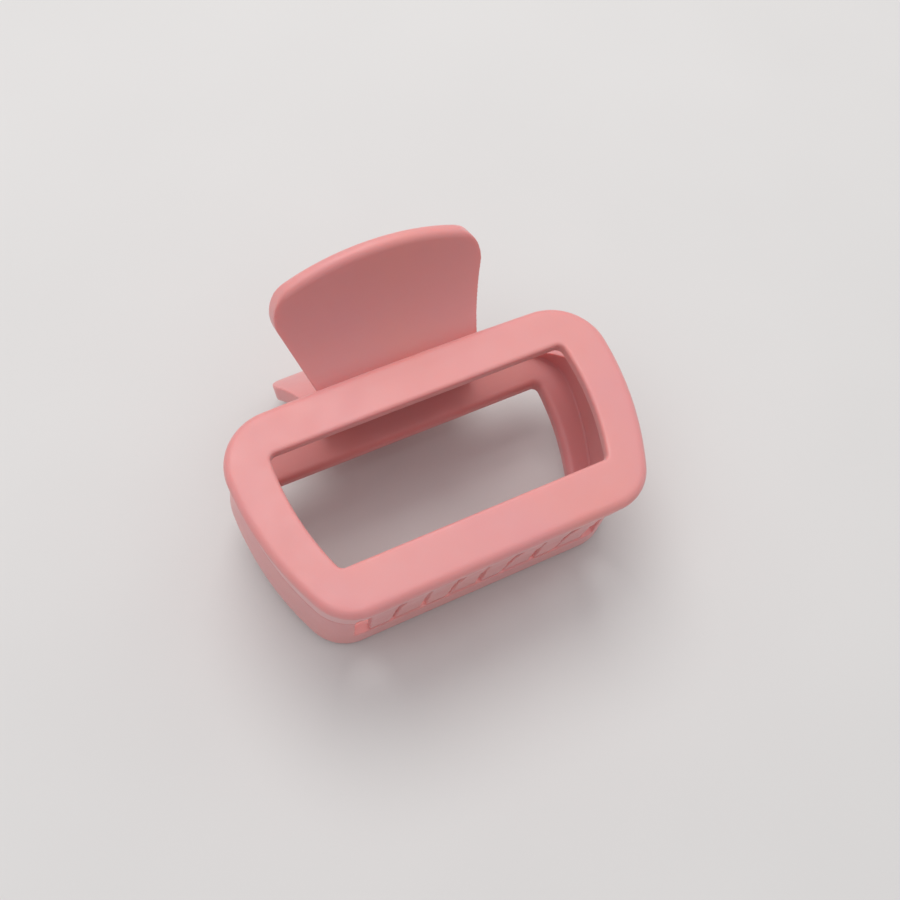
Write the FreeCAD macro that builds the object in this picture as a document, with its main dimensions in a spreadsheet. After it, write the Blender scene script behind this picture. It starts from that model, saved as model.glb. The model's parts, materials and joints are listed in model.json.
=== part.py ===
import FreeCAD, Part
import math
import os

import Sketcher
from FreeCAD import Placement, Rotation, Vector

# Rectangular claw clip: two mouldings of one shape that face each other across a wire pin and
# are held shut by a torsion spring. Each jaw is drawn in its own frame:
# X along the clip, Y towards the hinge and the finger tab, Z outwards from the plane where the
# two jaws meet. The finished clip lies on its back jaw, and its origin is the bottom centre of
# its box.

DIMENSIONS = {
    # frame, measured at its rim
    "hinge_half_length": 42.1,
    "teeth_half_length": 33.5,
    "hinge_edge": 24.0,
    "teeth_edge": 23.15,
    "hinge_bulge": 0.7,
    "end_bulge": 4.0,
    "hinge_corner": 12.0,
    "teeth_corner": 10.3,
    "face_height": 15.7,
    "face_slope": 8.0,
    "plate_thickness": 4.0,
    "block_height": 22.0,
    "rim_height": 14.0,
    "wall_draft": 5.0,
    "cavity_inset": 2.9,
    "cavity_teeth_corner": 5.0,
    "face_round": 1.8,
    "joint_gap": 0.05,
    # window through the frame
    "window_hinge_edge": 14.4,
    "window_teeth_edge": 12.8,
    "window_hinge_half": 33.1,
    "window_teeth_half": 29.3,
    "window_bulge": 1.55,
    "window_corner": 1.5,
    "window_round": 0.7,
    "window_inner_round": 1.6,
    # end walls stop short of the hinge, so that the jaws can open
    "relief_start": 11.0,
    "relief_end": 22.5,
    # teeth
    "slot_half": 29.0,
    "sill_height": 10.2,
    "tooth_reach": 9.9,
    "tooth_outer": 22.3,
    "tooth_tip_outer": 22.55,
    "tooth_root_thickness": 2.0,
    "tooth_tip_thickness": 1.5,
    "tooth_bow": 0.15,
    "tooth_pitch": 6.57,
    "tooth_root_width": 6.3,
    "tooth_tip_width": 4.7,
    "tooth_lean": 1.0,
    "tooth_embed": 0.8,
    "tooth_root_flare": 0.1,
    "comb_half": 28.0,
    "comb_margin": 0.5,
    # finger tab
    "tab_start": 25.1,
    "tab_start_height": 9.6,
    "tab_root": 22.9,
    "tab_root_slope": 32.0,
    "tab_tip_slope": 78.0,
    "tab_bend_radius": 35.4,
    "tab_tip_run": 3.0,
    "tab_thickness": 3.6,
    "tab_chord_slope": 55.5,
    "tab_base_half": 18.7,
    "tab_side_half": 22.7,
    "tab_side_length": 14.2,
    "tab_tip_half": 18.1,
    "tab_tip_length": 23.9,
    "tab_corner_bulge": 1.82,
    "tab_tip_bulge": 3.3,
    "tab_foot": 8.0,
    "tab_round": 1.6,
    # bar under the frame, between tab and hinge
    "bar_start": 20.8,
    "bar_end": 24.0,
    "bar_bottom": 4.6,
    "bar_top": 10.5,
    "bar_half": 18.3,
    # hinge
    "pin_position": 21.2,
    "pin_radius": 1.0,
    "pin_clearance": 0.05,
    "pin_length": 34.6,
    "knuckle_radius": 2.6,
    "knuckle_width": 3.0,
    "inner_knuckle": 10.1,
    "outer_knuckle": 13.3,
    "knuckle_embed": 1.0,
    # spring
    "wire_radius": 0.55,
    "coil_radius": 2.3,
    "coil_pitch": 1.25,
    "coil_turns": 10.0,
    "leg_slope": 22.0,
    "leg_length": 8.1,
    "foot_slope": 45.0,
    "foot_length": 10.5,
    # the clip rests on its back tab and on the teeth edge of its back jaw
    "rest_tilt": 10.75,
}

# each end of the coil turns on past its whole turns, so that its leg presses on its own jaw
COIL_TURNS = "dims.coil_turns + (180 - 2 * dims.leg_slope) / 360"
# in pitches from the middle; turned round, the back jaw's teeth stand in the front jaw's gaps
TOOTH_CENTRES = (-3.5, -1.5, 0.5, 2.5)
FAR = "40"  # further from the origin than any part of a jaw
BELOW = "-1"  # a little below the plane where the jaws meet
ALMOST_ZERO = "0.01"  # a sketch's dimension can't be zero

os.makedirs("parts", exist_ok=True)
doc = FreeCAD.newDocument("claw_clip")
sheet = doc.addObject("Spreadsheet::Sheet", "dims")
for row, (alias, number) in enumerate(DIMENSIONS.items(), start=1):
    sheet.set(f"A{row}", alias)
    sheet.set(f"B{row}", str(number))
    sheet.setAlias(f"B{row}", alias)
doc.recompute()


def value(text):
    """The number that an expression in the sheet's names stands for."""
    return float(sheet.evalExpression(text))


def tan_of(angle):
    return f"tan({angle} * 1 deg)"


def sin_of(angle):
    return f"sin({angle} * 1 deg)"


def cos_of(angle):
    return f"cos({angle} * 1 deg)"


def origin_plane(body, role):
    return next(item for item in body.Origin.OriginFeatures if item.Role == role)


def new_sketch(body, name, role, offset=None):
    """A sketch on one of the body's origin planes, moved by an attachment offset."""
    sketch = body.newObject("Sketcher::SketchObject", name)
    sketch.AttachmentSupport = (origin_plane(body, role), [""])
    sketch.MapMode = "FlatFace"
    if offset is not None:
        sketch.AttachmentOffset = offset
    return sketch


def bind(sketch, constraint, name, text):
    """Adds a dimension to a sketch and ties it to an expression."""
    index = sketch.addConstraint(constraint)
    sketch.renameConstraint(index, name)
    sketch.setExpression(f".Constraints.{name}", text)


def draw_outline(sketch, corners, bulges=None):
    """Draws a closed outline, counter-clockwise, through corners given as pairs of expressions.

    bulges maps the number of a side to its sagitta; a positive one stands outside the outline.
    """
    bulges = bulges or {}
    prefix = f"o{sketch.GeometryCount}_"
    points = [Vector(value(x), value(y), 0) for x, y in corners]
    first = sketch.GeometryCount
    ends = []
    for side, start in enumerate(points):
        end = points[(side + 1) % len(points)]
        if side in bulges:
            along = end - start
            outward = Vector(along.y, -along.x, 0).normalize()
            middle = (start + end) * 0.5 + outward * value(bulges[side])
            geometry = sketch.addGeometry(Part.Arc(start, middle, end))
            swapped = sketch.getPoint(geometry, 1).distanceToPoint(start) > 1e-6
            ends.append((2, 1) if swapped else (1, 2))
        else:
            geometry = sketch.addGeometry(Part.LineSegment(start, end))
            ends.append((1, 2))
    for side, (x, y) in enumerate(corners):
        geometry = first + side
        start_end, end_end = ends[side]
        after = (side + 1) % len(corners)
        sketch.addConstraint(
            Sketcher.Constraint("Coincident", geometry, end_end, first + after, ends[after][0])
        )
        for axis, text in (("DistanceX", x), ("DistanceY", y)):
            constraint = Sketcher.Constraint(axis, -1, 1, geometry, start_end, value(text))
            bind(sketch, constraint, f"{prefix}{side}{axis[-1]}", text)
        if side in bulges:
            next_x, next_y = corners[after]
            sagitta = f"abs({bulges[side]})"
            chord = f"((({next_x}) - ({x}))^2 + (({next_y}) - ({y}))^2)"
            radius = f"{chord} / (8 * {sagitta}) + {sagitta} / 2"
            constraint = Sketcher.Constraint("Radius", geometry, value(radius))
            bind(sketch, constraint, f"{prefix}{side}R", radius)


def pad(body, name, sketch, length, symmetric=False, draft=None):
    feature = body.newObject("PartDesign::Pad", name)
    feature.Profile = sketch
    feature.setExpression("Length", length)
    if symmetric:
        feature.SideType = "Symmetric"
    if draft:
        feature.setExpression("TaperAngle", draft)
    doc.recompute()
    return feature


def pocket(body, name, sketch, symmetric=False, reverse=False):
    """Cuts a sketch right through, and stops if nothing was cut."""
    before = body.Shape.Volume
    feature = body.newObject("PartDesign::Pocket", name)
    feature.Profile = sketch
    feature.Type = "ThroughAll"
    if symmetric:
        feature.SideType = "Symmetric"
    feature.Reversed = reverse
    doc.recompute()
    if not feature.Shape.Volume < before - 1e-3:
        raise RuntimeError(f"{name} cut nothing")
    return feature


def fillet(body, name, radius, chosen):
    """Rounds the faces or edges of the body's last feature whose names are given."""
    if not chosen:
        raise RuntimeError(f"{name} has nothing to round")
    feature = body.newObject("PartDesign::Fillet", name)
    feature.Base = (feature.BaseFeature, chosen)
    feature.setExpression("Radius", radius)
    doc.recompute()
    return feature


def combine(body, name, other, kind):
    """Fuses another body into this one, or cuts it away."""
    feature = body.newObject("PartDesign::Boolean", name)
    feature.setObjects([other])
    feature.Type = kind
    doc.recompute()
    return feature


def edge_names(shape, test):
    return [f"Edge{i}" for i, edge in enumerate(shape.Edges, start=1) if test(edge)]


def is_upright(edge, rise):
    """True for an edge that runs mostly along Z."""
    if len(edge.Vertexes) < 2:
        return False
    low, high = edge.Vertexes[0].Point, edge.Vertexes[-1].Point
    along = high - low
    return abs(along.z) > rise and math.hypot(along.x, along.y) < 0.3 * abs(along.z)


def face_top(y):
    """Height of the frame's outer face at y."""
    return value("dims.face_height") - y * math.tan(math.radians(value("dims.face_slope")))


def lies_at(edge, drop):
    """True for an edge that lies drop below the frame's outer face."""
    return all(abs(face_top(v.Point.y) - drop - v.Point.z) < 0.02 for v in edge.Vertexes)


def near_window(edge, margin=2.0):
    """True for an edge that lies on the window's outline."""
    half = value("dims.window_hinge_half") + margin
    reach = value("dims.window_hinge_edge") + margin
    return all(abs(v.Point.x) < half and abs(v.Point.y) < reach for v in edge.Vertexes)


def four_corners(hinge_half, hinge, teeth_half, teeth, inset):
    """Corners of a four-sided outline that is wider on its hinge side, moved in by inset."""
    return [
        (f"-({teeth_half} - {inset})", f"-({teeth} - {inset})"),
        (f"{teeth_half} - {inset}", f"-({teeth} - {inset})"),
        (f"{hinge_half} - {inset}", f"{hinge} - {inset}"),
        (f"-({hinge_half} - {inset})", f"{hinge} - {inset}"),
    ]


FRAME = ("dims.hinge_half_length", "dims.hinge_edge", "dims.teeth_half_length", "dims.teeth_edge")
FRAME_BULGES = {1: "dims.end_bulge", 2: "dims.hinge_bulge", 3: "dims.end_bulge"}
DRAFT_INSET = f"dims.rim_height * {tan_of('dims.wall_draft')}"
PLATE_DROP = f"dims.plate_thickness / {cos_of('dims.face_slope')}"


def face_line(y, drop="0"):
    """The height of the frame's face at an expression y, less a drop, as an expression."""
    return f"dims.face_height - ({y}) * {tan_of('dims.face_slope')} - ({drop})"


def cut_above(body, name, drop="0"):
    """Cuts away what stands higher than drop below the frame's outer face."""
    above = new_sketch(body, f"{name}_outline", "YZ_Plane")
    draw_outline(above, [
        (f"-{FAR}", face_line(f"-{FAR}", drop)),
        (FAR, face_line(FAR, drop)),
        (FAR, FAR),
        (f"-{FAR}", FAR),
    ])
    pocket(body, name, above, symmetric=True)


def round_corners(body, hinge_radius, teeth_radius):
    """Rounds a block's upright corners on its hinge side and on its teeth side."""
    middle = value("dims.window_hinge_edge")
    for side, name, radius in ((1, "hinge", hinge_radius), (-1, "teeth", teeth_radius)):
        corners = edge_names(body.Shape, lambda edge: (
            is_upright(edge, 3) and edge.Vertexes[0].Point.y * side > middle))
        fillet(body, f"{body.Name}_{name}_corners", radius, corners)


def add_plate(body):
    """The frame's solid block: rounded outline, drafted sides and a sloping outer face."""
    outline = new_sketch(body, f"{body.Name}_outline", "XY_Plane",
                         Placement(Vector(0, 0, value("dims.joint_gap")), Rotation()))
    draw_outline(outline, four_corners(*FRAME, DRAFT_INSET), FRAME_BULGES)
    pad(body, f"{body.Name}_block", outline, "dims.block_height", draft="dims.wall_draft")
    cut_above(body, f"{body.Name}_face")
    round_corners(body, "dims.hinge_corner", "dims.teeth_corner")
    top = edge_names(body.Shape, lambda edge: lies_at(edge, 0))
    fillet(body, f"{body.Name}_face_round", "dims.face_round", top)


def add_cavity(body):
    """Hollows the block from below, up to the plate, and cuts the window through the plate."""
    hollow = doc.addObject("PartDesign::Body", f"{body.Name}_hollow")
    outline = new_sketch(hollow, f"{hollow.Name}_outline", "XY_Plane")
    draw_outline(outline, four_corners(*FRAME, "dims.cavity_inset"), FRAME_BULGES)
    pad(hollow, f"{hollow.Name}_block", outline, "dims.block_height")
    cut_above(hollow, f"{hollow.Name}_roof", PLATE_DROP)
    round_corners(hollow, "dims.hinge_corner - dims.cavity_inset", "dims.cavity_teeth_corner")
    combine(body, f"{body.Name}_cavity", hollow, "Cut")

    window = new_sketch(body, f"{body.Name}_window_outline", "XY_Plane")
    draw_outline(window, four_corners(
        "dims.window_hinge_half", "dims.window_hinge_edge",
        "dims.window_teeth_half", "dims.window_teeth_edge", "0"),
        {1: "dims.window_bulge", 3: "dims.window_bulge"})
    pocket(body, f"{body.Name}_window", window, reverse=True)
    corners = edge_names(body.Shape, lambda edge: is_upright(edge, 1) and near_window(edge))
    fillet(body, f"{body.Name}_window_corner", "dims.window_corner", corners)
    for name, drop, radius in (
            ("front", 0, "dims.window_round"),
            ("inner", value(PLATE_DROP), "dims.window_inner_round")):
        rim = edge_names(body.Shape, lambda edge: lies_at(edge, drop) and near_window(edge))
        fillet(body, f"{body.Name}_window_{name}", radius, rim)


def add_openings(body):
    """Frees the hinge side, so that the clip can open, and opens the teeth side."""
    relief = new_sketch(body, f"{body.Name}_relief_outline", "YZ_Plane")
    roof = face_line("dims.relief_end", PLATE_DROP)
    draw_outline(relief, [
        ("dims.relief_start", BELOW),
        (FAR, BELOW),
        (FAR, roof),
        ("dims.relief_end", roof),
    ])
    pocket(body, f"{body.Name}_relief", relief, symmetric=True)
    slot = new_sketch(body, f"{body.Name}_slot_outline", "XZ_Plane")
    draw_outline(slot, [
        ("-dims.slot_half", BELOW),
        ("dims.slot_half", BELOW),
        ("dims.slot_half", "dims.sill_height"),
        ("-dims.slot_half", "dims.sill_height"),
    ])
    pocket(body, f"{body.Name}_slot", slot, reverse=True)


def add_teeth(body):
    """A slightly bowed sheet hanging from the sill, cut into tapered, leaning teeth."""
    root = "dims.sill_height + dims.tooth_embed"
    profile = new_sketch(body, f"{body.Name}_tooth_profile", "YZ_Plane")
    inner_root = "-(dims.tooth_outer - dims.tooth_root_thickness)"
    draw_outline(profile, [
        ("-dims.tooth_outer - dims.tooth_root_flare", root),
        ("-dims.tooth_outer", ALMOST_ZERO),
        ("-dims.tooth_tip_outer", "-dims.tooth_reach"),
        ("-(dims.tooth_tip_outer - dims.tooth_tip_thickness)", "-dims.tooth_reach"),
        (inner_root, ALMOST_ZERO),
        (f"{inner_root} - dims.tooth_root_flare", root),
    ], {1: "dims.tooth_bow", 3: "-dims.tooth_bow"})
    pad(body, f"{body.Name}_comb", profile, "2 * dims.comb_half", symmetric=True)

    # the gaps beside and between the teeth, wider where a tooth has narrowed
    low, high = f"({BELOW} - dims.tooth_reach)", "dims.sill_height"
    narrowing = "(dims.tooth_root_width - dims.tooth_tip_width)"
    length = "(dims.sill_height + dims.tooth_reach)"

    def flank(centre, side, height):
        """X of a tooth's flank at a height, for the tooth whose centre is given in pitches."""
        half = f"(dims.tooth_root_width - {narrowing} * (dims.sill_height - {height}) / {length}) / 2"
        lean = f"({height}) * {tan_of('dims.tooth_lean')}"
        return f"({centre}) * dims.tooth_pitch + ({side}) * {half} + {lean}"

    end = "(dims.comb_half + dims.comb_margin)"
    edges = [(f"-{end}", f"-{end}")]
    for centre in TOOTH_CENTRES:
        for side in (-1, 1):
            edges.append((flank(centre, side, low), flank(centre, side, high)))
    edges.append((end, end))
    gaps = new_sketch(body, f"{body.Name}_gaps", "XZ_Plane")
    for left, right in zip(edges[0::2], edges[1::2]):
        draw_outline(gaps, [
            (left[0], low), (right[0], low), (right[1], high), (left[1], high)])
    pocket(body, f"{body.Name}_gap_cut", gaps, reverse=True)


def tab_point(slope, radius):
    """A point of the tab's bend, as expressions, at a slope and a radius from its centre."""
    centre_y = f"(dims.tab_start - dims.tab_bend_radius * {sin_of('dims.tab_root_slope')})"
    centre_z = f"(dims.tab_start_height + dims.tab_bend_radius * {cos_of('dims.tab_root_slope')})"
    return (f"{centre_y} + ({radius}) * {sin_of(slope)}",
            f"{centre_z} - ({radius}) * {cos_of(slope)}")


def make_tab(name):
    """The curved finger tab, cut to its outline and rounded."""
    body = doc.addObject("PartDesign::Body", name)
    outside = "dims.tab_bend_radius"
    inside = "(dims.tab_bend_radius + dims.tab_thickness)"
    start, tip = "dims.tab_root_slope", "dims.tab_tip_slope"
    run_y = f"dims.tab_tip_run * {cos_of(tip)}"
    run_z = f"dims.tab_tip_run * {sin_of(tip)}"
    outer_start, outer_end = tab_point(start, outside), tab_point(tip, outside)
    inner_start, inner_end = tab_point(start, inside), tab_point(tip, inside)
    root_height = f"dims.tab_start_height - (dims.tab_start - dims.tab_root) * {tan_of(start)}"
    rise = f"(1 - {cos_of('(dims.tab_tip_slope - dims.tab_root_slope) / 2')})"
    profile = new_sketch(body, f"{name}_profile", "YZ_Plane")
    draw_outline(profile, [
        ("dims.tab_root", root_height),
        ("dims.tab_root", f"{root_height} - dims.tab_thickness / {cos_of(start)}"),
        inner_start,
        inner_end,
        (f"{inner_end[0]} + {run_y}", f"{inner_end[1]} + {run_z}"),
        (f"{outer_end[0]} + {run_y}", f"{outer_end[1]} + {run_z}"),
        outer_end,
        outer_start,
    ], {2: f"{inside} * {rise}", 6: f"-{outside} * {rise}"})
    pad(body, f"{name}_sheet", profile, "3 * dims.tab_side_half", symmetric=True)

    # seen square to its chord, the tab widens from its root and ends in a shallow arc
    chord = value("dims.tab_chord_slope")
    origin = Vector(0, value("dims.tab_start"), value("dims.tab_start_height"))
    outline = new_sketch(body, f"{name}_outline", "XY_Plane",
                         Placement(origin, Rotation(Vector(1, 0, 0), chord)))
    flare = "(dims.tab_side_half - dims.tab_base_half) / dims.tab_side_length"
    foot_half = f"(dims.tab_base_half - dims.tab_foot * {flare})"
    draw_outline(outline, [(f"-{FAR}", f"-{FAR}"), (FAR, f"-{FAR}"), (FAR, FAR), (f"-{FAR}", FAR)])
    draw_outline(outline, [
        (f"-{foot_half}", "-dims.tab_foot"),
        (foot_half, "-dims.tab_foot"),
        ("dims.tab_side_half", "dims.tab_side_length"),
        ("dims.tab_tip_half", "dims.tab_tip_length"),
        ("-dims.tab_tip_half", "dims.tab_tip_length"),
        ("-dims.tab_side_half", "dims.tab_side_length"),
    ], {2: "dims.tab_corner_bulge", 3: "dims.tab_tip_bulge", 4: "dims.tab_corner_bulge"})
    pocket(body, f"{name}_trim", outline, symmetric=True)
    tip_edges = edge_names(body.Shape, lambda edge: (
        edge.Curve.TypeId != "Part::GeomLine"
        and edge.Vertexes[0].Point.x * edge.Vertexes[-1].Point.x < 0))
    fillet(body, f"{name}_rim", "dims.tab_round", tip_edges)
    return body


def add_bar(body):
    """The bar under the frame that carries the tab and the ears."""
    sketch = new_sketch(body, f"{body.Name}_bar_outline", "YZ_Plane")
    draw_outline(sketch, [
        ("dims.bar_start", "dims.bar_bottom"),
        ("dims.bar_end", "dims.bar_bottom"),
        ("dims.bar_end", "dims.bar_top"),
        ("dims.bar_start", "dims.bar_top"),
    ])
    pad(body, f"{body.Name}_bar", sketch, "2 * dims.bar_half", symmetric=True)


def add_knuckle(body, name, start):
    """An ear that hangs from the plate and holds the pin."""
    sketch = new_sketch(body, name, "YZ_Plane", Placement(Vector(0, 0, value(start)), Rotation()))
    near = "dims.pin_position - dims.knuckle_radius"
    far = "dims.pin_position + dims.knuckle_radius"
    height = f"{face_line('dims.pin_position', PLATE_DROP)} + dims.knuckle_embed"
    draw_outline(sketch, [
        (far, ALMOST_ZERO),
        (far, height),
        ("dims.bar_start", height),
        (near, ALMOST_ZERO),
    ], {3: f"dims.knuckle_radius - {ALMOST_ZERO}"})
    pad(body, f"{name}_ear", sketch, "dims.knuckle_width")


def make_jaw(label):
    body = doc.addObject("PartDesign::Body", label)
    body.Label = label
    add_plate(body)
    add_cavity(body)
    add_openings(body)
    add_teeth(body)
    add_bar(body)
    add_knuckle(body, f"{label}_inner_knuckle", "dims.inner_knuckle")
    add_knuckle(body, f"{label}_outer_knuckle", "-dims.outer_knuckle - dims.knuckle_width")
    bore = new_sketch(body, f"{label}_bore_outline", "YZ_Plane")
    circle = bore.addGeometry(Part.Circle(
        Vector(value("dims.pin_position"), 0, 0), Vector(0, 0, 1), value("dims.pin_radius")))
    bore.addConstraint(Sketcher.Constraint("PointOnObject", circle, 3, -1))
    bind(bore, Sketcher.Constraint("DistanceX", -1, 1, circle, 3, value("dims.pin_position")),
         "place", "dims.pin_position")
    bind(bore, Sketcher.Constraint("Radius", circle, value("dims.pin_radius")),
         "size", "dims.pin_radius + dims.pin_clearance")
    pocket(body, f"{label}_bore", bore, symmetric=True)
    tab = make_tab(f"{label}_tab")
    combine(body, f"{label}_with_tab", tab, "Fuse")
    return body


def make_pin():
    pin = doc.addObject("Part::Cylinder", "hinge_pin")
    pin.Label = "hinge_pin"
    pin.setExpression("Radius", "dims.pin_radius")
    pin.setExpression("Height", "dims.pin_length")
    return pin


def make_spring():
    """A coil of round wire with two straight legs that leave it along its tangents.

    The coil's own frame has Z along the pin and X through the start of the first turn.
    """
    coil = doc.addObject("Part::Helix", "coil_line")
    coil.setExpression("Pitch", "dims.coil_pitch")
    coil.setExpression("Radius", "dims.coil_radius")
    coil.setExpression("Height", f"dims.coil_pitch * ({COIL_TURNS})")
    radius, pitch = value("dims.coil_radius"), value("dims.coil_pitch")
    section = doc.addObject("Part::Circle", "wire_section")
    section.setExpression("Radius", "dims.wire_radius")
    tangent = Vector(0, 2 * math.pi * radius, pitch)
    section.Placement = Placement(Vector(radius, 0, 0), Rotation(Vector(0, 0, 1), tangent))
    doc.recompute()
    sweep = doc.addObject("Part::Sweep", "coil")
    sweep.Sections = [section]
    sweep.Spine = (coil, ["Edge1"])
    sweep.Solid = True
    sweep.Frenet = True
    turned = 360 * value(COIL_TURNS)
    height = value(f"dims.coil_pitch * ({COIL_TURNS})")
    pieces = [sweep]
    bend = value("dims.foot_slope - dims.leg_slope")
    for name, angle, level, way in (("front", 0, 0, -1), ("back", turned, height, 1)):
        around = Rotation(Vector(0, 0, 1), angle)
        start = around.multVec(Vector(radius, 0, 0)) + Vector(0, 0, level)
        along = around.multVec(Vector(0, way, 0))
        knee = start + along * value("dims.leg_length")
        outwards = Rotation(Vector(0, 0, 1), -way * bend).multVec(along)
        for part, length, foot, line in (
                ("leg", "dims.leg_length", start, along),
                ("foot", "dims.foot_length", knee, outwards)):
            piece = doc.addObject("Part::Cylinder", f"{name}_{part}")
            piece.setExpression("Radius", "dims.wire_radius")
            piece.setExpression("Height", length)
            piece.Placement = Placement(foot, Rotation(Vector(0, 0, 1), line))
            pieces.append(piece)
        joint = doc.addObject("Part::Sphere", f"{name}_knee")
        joint.setExpression("Radius", "dims.wire_radius")
        joint.Placement = Placement(knee, Rotation())
        pieces.append(joint)
    spring = doc.addObject("Part::MultiFuse", "torsion_spring")
    spring.Label = "torsion_spring"
    spring.Shapes = pieces
    doc.recompute()
    return spring


front_jaw = make_jaw("front_jaw")
back_jaw = make_jaw("back_jaw")
hinge_pin = make_pin()
torsion_spring = make_spring()

# where each piece stands in the clip's own frame, with the front jaw outwards along +Z
pin_line = Vector(0, value("dims.pin_position"), 0)
pin_start = pin_line - Vector(value("dims.pin_length") / 2, 0, 0)
coil_start = pin_line - Vector(value(f"dims.coil_pitch * ({COIL_TURNS})") / 2, 0, 0)
coil_frame = Rotation(Vector(0, 1, 0), Vector(0, 0, 1), Vector(1, 0, 0), "ZXY")
first_turn = Rotation(Vector(1, 0, 0), 90 + value("dims.leg_slope"))
SUB_PARTS = {
    front_jaw: Placement(),
    back_jaw: Placement(Vector(), Rotation(Vector(0, 1, 0), 180)),
    hinge_pin: Placement(pin_start, Rotation(Vector(0, 1, 0), 90)),
    torsion_spring: Placement(coil_start, first_turn.multiply(coil_frame)),
}

# the clip lies tilted on its back jaw; the origin is the bottom centre of its box
tilt = Placement(Vector(), Rotation(Vector(1, 0, 0), value("dims.rest_tilt")))
for sub_part, local in SUB_PARTS.items():
    sub_part.Placement = tilt.multiply(local)
doc.recompute()
whole = Part.makeCompound([sub_part.Shape for sub_part in SUB_PARTS]).optimalBoundingBox(False)
rest = Placement(Vector(0, -(whole.YMin + whole.YMax) / 2, -whole.ZMin), Rotation())
for sub_part in SUB_PARTS:
    sub_part.Placement = rest.multiply(sub_part.Placement)
doc.recompute()

for item in doc.Objects:
    if "Invalid" in item.State or "Error" in item.State:
        raise RuntimeError(f"{item.Name} failed: {item.State}")
for sub_part in SUB_PARTS:
    shape = sub_part.Shape
    if shape.isNull() or not shape.isValid() or len(shape.Solids) != 1:
        raise RuntimeError(f"{sub_part.Label} is not one valid solid")
for sub_part in SUB_PARTS:
    sub_part.Shape.exportStep(f"parts/{sub_part.Label}.step")
    print(sub_part.Label, sub_part.Shape.optimalBoundingBox(False))
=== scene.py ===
import json
import math

import bmesh
import bpy
from mathutils import Matrix, Quaternion, Vector


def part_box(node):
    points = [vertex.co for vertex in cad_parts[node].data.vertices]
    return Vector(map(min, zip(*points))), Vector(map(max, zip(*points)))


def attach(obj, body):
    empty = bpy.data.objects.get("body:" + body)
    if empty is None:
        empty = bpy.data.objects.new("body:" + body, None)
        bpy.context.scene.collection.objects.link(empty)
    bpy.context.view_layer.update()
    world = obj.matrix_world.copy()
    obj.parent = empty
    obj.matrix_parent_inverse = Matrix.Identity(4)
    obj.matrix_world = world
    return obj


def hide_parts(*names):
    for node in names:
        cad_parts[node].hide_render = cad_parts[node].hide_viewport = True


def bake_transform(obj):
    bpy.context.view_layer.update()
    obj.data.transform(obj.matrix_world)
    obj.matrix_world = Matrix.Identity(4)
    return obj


# Rectangular claw clip: two soft-touch plastic jaws, a steel hinge pin and a torsion spring.
# Lengths are in metres unless a name ends in MM.

MM = 0.001

# jaws: voxel size and smoothing set how soft the moulded edges are
JAW_MERGE_DISTANCE = 0.002 * MM
JAW_VOXEL_MM = 0.24
JAW_SMOOTHING_PASSES = 5
JAW_SMOOTHING_FACTOR = 0.5

# spring, as wound in the CAD part; slopes in degrees
WIRE_RADIUS = 0.55 * MM
COIL_RADIUS = 2.3 * MM
COIL_PITCH = 1.25 * MM
COIL_TURNS = 10
LEG_SLOPE = 22
LEG_LENGTH = 8.1 * MM
FOOT_SLOPE = 45
FOOT_LENGTH = 10.5 * MM
KNEE_RADIUS = 2.5 * MM
STEPS_PER_TURN = 40
LEG_STEPS = 6
KNEE_STEPS = 8
FOOT_STEPS = 8
WIRE_SIDES = 20
WIRE_DOME_STEPS = 6

# pin
PIN_SIDES = 48
PIN_DOME_STEPS = 8

# camera, at the photograph's viewing angle; angles in degrees, lens in millimetres
CAMERA_AIM = Vector((2.6, -9.2, 30.0)) * MM
CAMERA_DISTANCE = 224.1 * MM
CAMERA_AZIMUTH = 32.0
CAMERA_ELEVATION = 62.45
CAMERA_ROLL = 7.3
CAMERA_LENS_MM = 42.8
CAMERA_CLIP_START = 10 * MM

# studio: for each light its place, size, power in watts and colour
LIGHTS = {
    "key": ((0.05, 0.38, 0.80), 0.60, 3.8, (1.0, 0.99, 0.975)),
    "fill": ((-0.30, 0.00, 0.80), 0.50, 1.1, (0.98, 0.98, 1.0)),
    "rim": ((0.50, 0.10, 0.40), 0.45, 0.3, (1.0, 0.99, 0.97)),
}
SKY_COLOUR = (0.98, 0.985, 1.0)
SKY_STRENGTH = 0.57
FLOOR_SIZE = 4

# base colours
PLASTIC_WARM = (0.690, 0.268, 0.252)
PLASTIC_COOL = (0.668, 0.264, 0.268)
STEEL = (0.60, 0.60, 0.61)
FLOOR = (0.650, 0.636, 0.628)

# how much darker or lighter the patches of a colour are
STEEL_SHADE = 0.78
FLOOR_TINT = 1.02

# the part of a noise value's range that it mostly keeps to
NOISE_LOW = 0.3
NOISE_HIGH = 0.7

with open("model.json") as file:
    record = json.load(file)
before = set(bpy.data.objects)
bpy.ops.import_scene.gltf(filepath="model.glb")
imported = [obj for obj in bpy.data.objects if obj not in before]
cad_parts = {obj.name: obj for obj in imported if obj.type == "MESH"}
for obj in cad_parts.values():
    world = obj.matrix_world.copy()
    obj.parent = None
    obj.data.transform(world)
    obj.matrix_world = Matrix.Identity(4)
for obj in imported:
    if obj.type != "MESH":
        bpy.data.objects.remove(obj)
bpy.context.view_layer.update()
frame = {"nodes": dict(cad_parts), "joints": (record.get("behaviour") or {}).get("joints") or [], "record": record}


def shaded(colour, factor):
    """A colour made darker or lighter."""
    return tuple(factor * channel for channel in colour)


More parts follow.
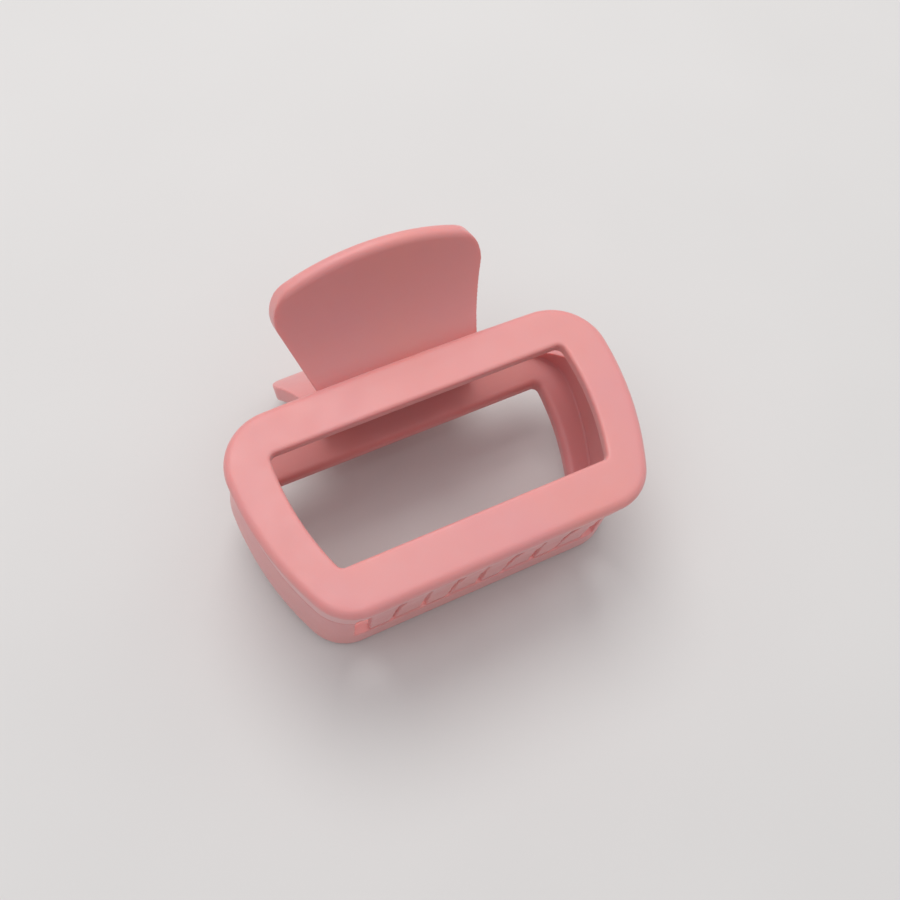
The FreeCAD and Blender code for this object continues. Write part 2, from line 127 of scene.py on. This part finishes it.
class Nodes:
    """A short way to add nodes to a material and link them."""

    def __init__(self, name):
        self.material = bpy.data.materials.new(name)
        self.material.use_nodes = True
        self.tree = self.material.node_tree
        self.shader = self.tree.nodes["Principled BSDF"]

    def add(self, kind, **settings):
        node = self.tree.nodes.new(kind)
        for name, setting in settings.items():
            setattr(node, name, setting)
        return node

    def link(self, output, target):
        self.tree.links.new(output, target)

    def noise(self, size, detail=3.0):
        """Noise in the object's own space, whose patches are about size across."""
        place = self.add("ShaderNodeTexCoord")
        noise = self.add("ShaderNodeTexNoise")
        noise.inputs["Scale"].default_value = 1 / size
        noise.inputs["Detail"].default_value = detail
        self.link(place.outputs["Object"], noise.inputs["Vector"])
        return noise.outputs["Fac"]

    def spread(self, value, low, high):
        """Maps a noise value onto low..high."""
        spread = self.add("ShaderNodeMapRange")
        spread.inputs["From Min"].default_value = NOISE_LOW
        spread.inputs["From Max"].default_value = NOISE_HIGH
        spread.inputs["To Min"].default_value = low
        spread.inputs["To Max"].default_value = high
        self.link(value, spread.inputs["Value"])
        return spread.outputs["Result"]

    def mix(self, factor, first, second):
        """A colour that goes from first to second as factor goes from 0 to 1."""
        mix = self.add("ShaderNodeMix", data_type="RGBA")
        self.link(factor, mix.inputs["Factor"])
        mix.inputs["A"].default_value = (*first, 1)
        mix.inputs["B"].default_value = (*second, 1)
        return mix.outputs["Result"]

    def bump(self, height, distance, strength, under=None):
        """Relief of a height value, distance deep, on top of the relief under it."""
        bump = self.add("ShaderNodeBump")
        bump.inputs["Distance"].default_value = distance
        bump.inputs["Strength"].default_value = strength
        self.link(height, bump.inputs["Height"])
        if under is not None:
            self.link(under, bump.inputs["Normal"])
        return bump.outputs["Normal"]


def make_plastic():
    """Soft-touch matt plastic: a faint drift of colour, a fine eggshell grain and soft scatter."""
    nodes = Nodes("soft_touch_plastic")
    shader = nodes.shader
    drift = nodes.spread(nodes.noise(22 * MM), low=0, high=1)
    nodes.link(nodes.mix(drift, PLASTIC_WARM, PLASTIC_COOL), shader.inputs["Base Color"])
    patches = nodes.spread(nodes.noise(5 * MM, detail=4), low=0.46, high=0.56)
    nodes.link(patches, shader.inputs["Roughness"])
    ripple = nodes.bump(nodes.noise(6 * MM, detail=1), distance=0.05 * MM, strength=0.35)
    grain = nodes.bump(nodes.noise(0.22 * MM, detail=2), distance=0.012 * MM, strength=0.5,
                       under=ripple)
    nodes.link(grain, shader.inputs["Normal"])
    shader.inputs["Specular IOR Level"].default_value = 0.7
    shader.inputs["Subsurface Weight"].default_value = 0.5
    shader.inputs["Subsurface Radius"].default_value = (1.0, 0.35, 0.28)
    shader.inputs["Subsurface Scale"].default_value = 3.0 * MM
    shader.inputs["Sheen Weight"].default_value = 0.2
    shader.inputs["Sheen Roughness"].default_value = 0.45
    return nodes.material


def make_steel(name, roughness, grain_size):
    """Drawn steel wire, with a fine grain in its surface and duller patches."""
    nodes = Nodes(name)
    shader = nodes.shader
    shader.inputs["Metallic"].default_value = 1.0
    drift = nodes.spread(nodes.noise(1.5 * MM), low=0, high=1)
    nodes.link(nodes.mix(drift, shaded(STEEL, STEEL_SHADE), STEEL), shader.inputs["Base Color"])
    patches = nodes.spread(nodes.noise(0.7 * MM, detail=4), low=roughness, high=roughness + 0.16)
    nodes.link(patches, shader.inputs["Roughness"])
    grain = nodes.bump(nodes.noise(grain_size, detail=2), distance=0.01 * MM, strength=0.4)
    nodes.link(grain, shader.inputs["Normal"])
    return nodes.material


def make_floor_material():
    """Plain pale matt board."""
    nodes = Nodes("pale_floor")
    shader = nodes.shader
    drift = nodes.spread(nodes.noise(60 * MM, detail=2), low=0, high=1)
    nodes.link(nodes.mix(drift, FLOOR, shaded(FLOOR, FLOOR_TINT)), shader.inputs["Base Color"])
    shader.inputs["Roughness"].default_value = 0.9
    shader.inputs["Specular IOR Level"].default_value = 0.2
    grain = nodes.bump(nodes.noise(0.5 * MM, detail=2), distance=0.02 * MM, strength=0.4)
    nodes.link(grain, shader.inputs["Normal"])
    return nodes.material


def new_piece(name, mesh, material):
    """A smooth-shaded object made of mesh in one material."""
    piece = bpy.data.objects.new(name, mesh)
    bpy.context.scene.collection.objects.link(piece)
    mesh.materials.clear()
    mesh.materials.append(material)
    mesh.polygons.foreach_set("use_smooth", [True] * len(mesh.polygons))
    return piece


def make_jaw(node, material):
    """The CAD jaw rebuilt as one even mesh, whose sharp edges are softened as in a moulding."""
    mesh = frame["nodes"][node].data.copy()
    work = bmesh.new()
    work.from_mesh(mesh)
    bmesh.ops.remove_doubles(work, verts=work.verts, dist=JAW_MERGE_DISTANCE)
    bmesh.ops.scale(work, vec=(1 / MM,) * 3, verts=work.verts)
    work.to_mesh(mesh)
    work.free()
    rough = bpy.data.objects.new(f"{node}_rough", mesh)
    bpy.context.scene.collection.objects.link(rough)
    remesh = rough.modifiers.new("even", "REMESH")
    remesh.mode = "VOXEL"
    remesh.voxel_size = JAW_VOXEL_MM
    smooth = rough.modifiers.new("soft", "SMOOTH")
    smooth.factor = JAW_SMOOTHING_FACTOR
    smooth.iterations = JAW_SMOOTHING_PASSES
    bpy.context.view_layer.update()
    evaluated = rough.evaluated_get(bpy.context.evaluated_depsgraph_get())
    soft = bpy.data.meshes.new_from_object(evaluated)
    bpy.data.objects.remove(rough)
    soft.transform(Matrix.Scale(MM, 4))
    return new_piece(f"{node}_moulding", soft, material)


def rings_to_mesh(name, rings):
    """A closed skin over rings of points that all have the same number of points."""
    work = bmesh.new()
    rows = [[work.verts.new(point) for point in ring] for ring in rings]
    count = len(rings[0])
    for first, second in zip(rows, rows[1:]):
        for side in range(count):
            after = (side + 1) % count
            work.faces.new((first[side], first[after], second[after], second[side]))
    work.faces.new(reversed(rows[0]))
    work.faces.new(rows[-1])
    bmesh.ops.recalc_face_normals(work, faces=work.faces)
    mesh = bpy.data.meshes.new(name)
    work.to_mesh(mesh)
    work.free()
    return mesh


def dome_steps(count):
    """Pairs of (how far in from the end, how wide) along a rounded end, as parts of its radius."""
    angles = [math.radians(90 * step / count) for step in range(count)]
    return [(1 - math.sin(angle), math.cos(angle)) for angle in reversed(angles)]


def make_wire(name, points, radius, sides, material):
    """A round wire along points, with rounded ends."""
    tangents = []
    for index in range(len(points)):
        before, after = points[max(index - 1, 0)], points[min(index + 1, len(points) - 1)]
        tangents.append((after - before).normalized())
    stations = [(points[0] + tangents[0] * radius * inward, tangents[0], radius * width)
                for inward, width in dome_steps(WIRE_DOME_STEPS)]
    stations += [(point, tangent, radius)
                 for point, tangent in zip(points[1:-1], tangents[1:-1])]
    stations += [(points[-1] - tangents[-1] * radius * inward, tangents[-1], radius * width)
                 for inward, width in reversed(dome_steps(WIRE_DOME_STEPS))]
    across = tangents[0].orthogonal().normalized()
    previous = tangents[0]
    rings = []
    for centre, tangent, width in stations:
        across = previous.rotation_difference(tangent) @ across
        across = (across - tangent * across.dot(tangent)).normalized()
        beside = tangent.cross(across)
        previous = tangent
        ring = []
        for side in range(sides):
            angle = 2 * math.pi * side / sides
            ring.append(centre + (across * math.cos(angle) + beside * math.sin(angle)) * width)
        rings.append(ring)
    return new_piece(name, rings_to_mesh(name, rings), material)


def rounded_corner(start, corner, end, radius, steps):
    """Points of the arc that rounds a corner between two straight runs."""
    back_way, on_way = (start - corner).normalized(), (end - corner).normalized()
    half = back_way.angle(on_way) / 2
    reach = radius / math.tan(half)
    centre = corner + (back_way + on_way).normalized() * (radius / math.sin(half))
    first, last = corner + back_way * reach - centre, corner + on_way * reach - centre
    turn = first.rotation_difference(last)
    return [centre + Quaternion().slerp(turn, step / steps) @ first for step in range(steps + 1)]


# the clip's own directions and its hinge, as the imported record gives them
record = frame["record"]
grip = next(mount for mount in record["mounts"] if mount["name"] == "hair_grip")
towards_hinge = -Vector(grip["axis"]).normalized()
along_clip = Vector((1, 0, 0))
outwards = along_clip.cross(towards_hinge)
hinge = Vector(frame["joints"][0]["pos_m"])


def from_hinge(x, slope, reach):
    """A point at x along the pin, reach away from its centre line in the direction of slope."""
    angle = math.radians(slope)
    return (hinge + along_clip * x
            + (towards_hinge * math.cos(angle) + outwards * math.sin(angle)) * reach)


def spring_path():
    """The wire's centre line from foot to foot, and half the width of its coil."""
    turned = 360 * COIL_TURNS + 180 - 2 * LEG_SLOPE
    half_width = COIL_PITCH * turned / 360 / 2
    steps = round(STEPS_PER_TURN * turned / 360)
    coil = []
    for step in range(steps + 1):
        angle = turned * step / steps
        x = COIL_PITCH * angle / 360 - half_width
        coil.append(from_hinge(x, 90 + LEG_SLOPE + angle, COIL_RADIUS))
    ends = []
    for x, start, way in ((-half_width, coil[0], 1), (half_width, coil[-1], -1)):
        knee = start + from_hinge(0, way * LEG_SLOPE, LEG_LENGTH) - hinge
        foot = knee + from_hinge(0, way * FOOT_SLOPE, FOOT_LENGTH) - hinge
        bend = rounded_corner(start, knee, foot, KNEE_RADIUS, KNEE_STEPS)
        leg = [start.lerp(bend[0], step / LEG_STEPS) for step in range(1, LEG_STEPS)]
        tip = [bend[-1].lerp(foot, (step + 1) / FOOT_STEPS) for step in range(FOOT_STEPS)]
        ends.append(leg + bend + tip)
    return list(reversed(ends[0])) + coil + ends[1], half_width


def make_pin(material):
    """The hinge pin: a straight wire with domed ends, as long as the CAD pin."""
    low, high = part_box("hinge_pin")
    radius = (high.z - low.z) / 2
    centre = (low + high) / 2
    stations = [(low.x + radius * inward, radius * width)
                for inward, width in dome_steps(PIN_DOME_STEPS)]
    stations += [(high.x - radius * inward, radius * width)
                 for inward, width in reversed(dome_steps(PIN_DOME_STEPS))]
    rings = []
    for x, width in stations:
        ring = []
        for side in range(PIN_SIDES):
            angle = 2 * math.pi * side / PIN_SIDES
            ring.append(Vector((x, centre.y + math.cos(angle) * width,
                                centre.z + math.sin(angle) * width)))
        rings.append(ring)
    return new_piece("pin_wire", rings_to_mesh("pin_wire", rings), material)


plastic = make_plastic()
for node, body in (("front_jaw", "front"), ("back_jaw", "back")):
    jaw = make_jaw(node, plastic)
    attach(jaw, body)
    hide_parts(node)

pin = make_pin(make_steel("bright_wire", roughness=0.22, grain_size=0.15 * MM))
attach(pin, "back")
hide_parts("hinge_pin")

wire_path, coil_half = spring_path()
dull_steel = make_steel("spring_wire_steel", roughness=0.30, grain_size=0.10 * MM)
spring = make_wire("spring_wire", wire_path, WIRE_RADIUS, WIRE_SIDES, dull_steel)
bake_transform(spring)
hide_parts("torsion_spring")

# studio: floor, sky, lights and camera
bpy.ops.mesh.primitive_plane_add(size=FLOOR_SIZE)
floor = bpy.context.object
floor.name = "floor"
floor.data.materials.append(make_floor_material())

bpy.context.scene.view_settings.view_transform = "Standard"
world = bpy.data.worlds.new("studio")
bpy.context.scene.world = world
world.use_nodes = True
sky = world.node_tree.nodes["Background"]
sky.inputs["Color"].default_value = (*SKY_COLOUR, 1)
sky.inputs["Strength"].default_value = SKY_STRENGTH

for name, (place, size, power, colour) in LIGHTS.items():
    light = bpy.data.lights.new(name, "AREA")
    light.shape = "DISK"
    light.size = size
    light.energy = power
    light.color = colour
    lamp = bpy.data.objects.new(name, light)
    bpy.context.scene.collection.objects.link(lamp)
    lamp.location = place
    lamp.rotation_euler = (CAMERA_AIM - lamp.location).to_track_quat("-Z", "Y").to_euler()

azimuth, elevation = math.radians(CAMERA_AZIMUTH), math.radians(CAMERA_ELEVATION)
towards_camera = Vector((
    -math.sin(azimuth) * math.cos(elevation),
    -math.cos(azimuth) * math.cos(elevation),
    math.sin(elevation),
))
camera = bpy.data.objects.new("camera", bpy.data.cameras.new("camera"))
bpy.context.scene.collection.objects.link(camera)
camera.data.lens = CAMERA_LENS_MM
camera.data.clip_start = CAMERA_CLIP_START
camera.location = CAMERA_AIM + towards_camera * CAMERA_DISTANCE
upright = (-towards_camera).to_track_quat("-Z", "Y")
roll = Quaternion((0, 0, 1), math.radians(CAMERA_ROLL))
camera.rotation_mode = "QUATERNION"
camera.rotation_quaternion = upright @ roll
bpy.context.scene.camera = camera
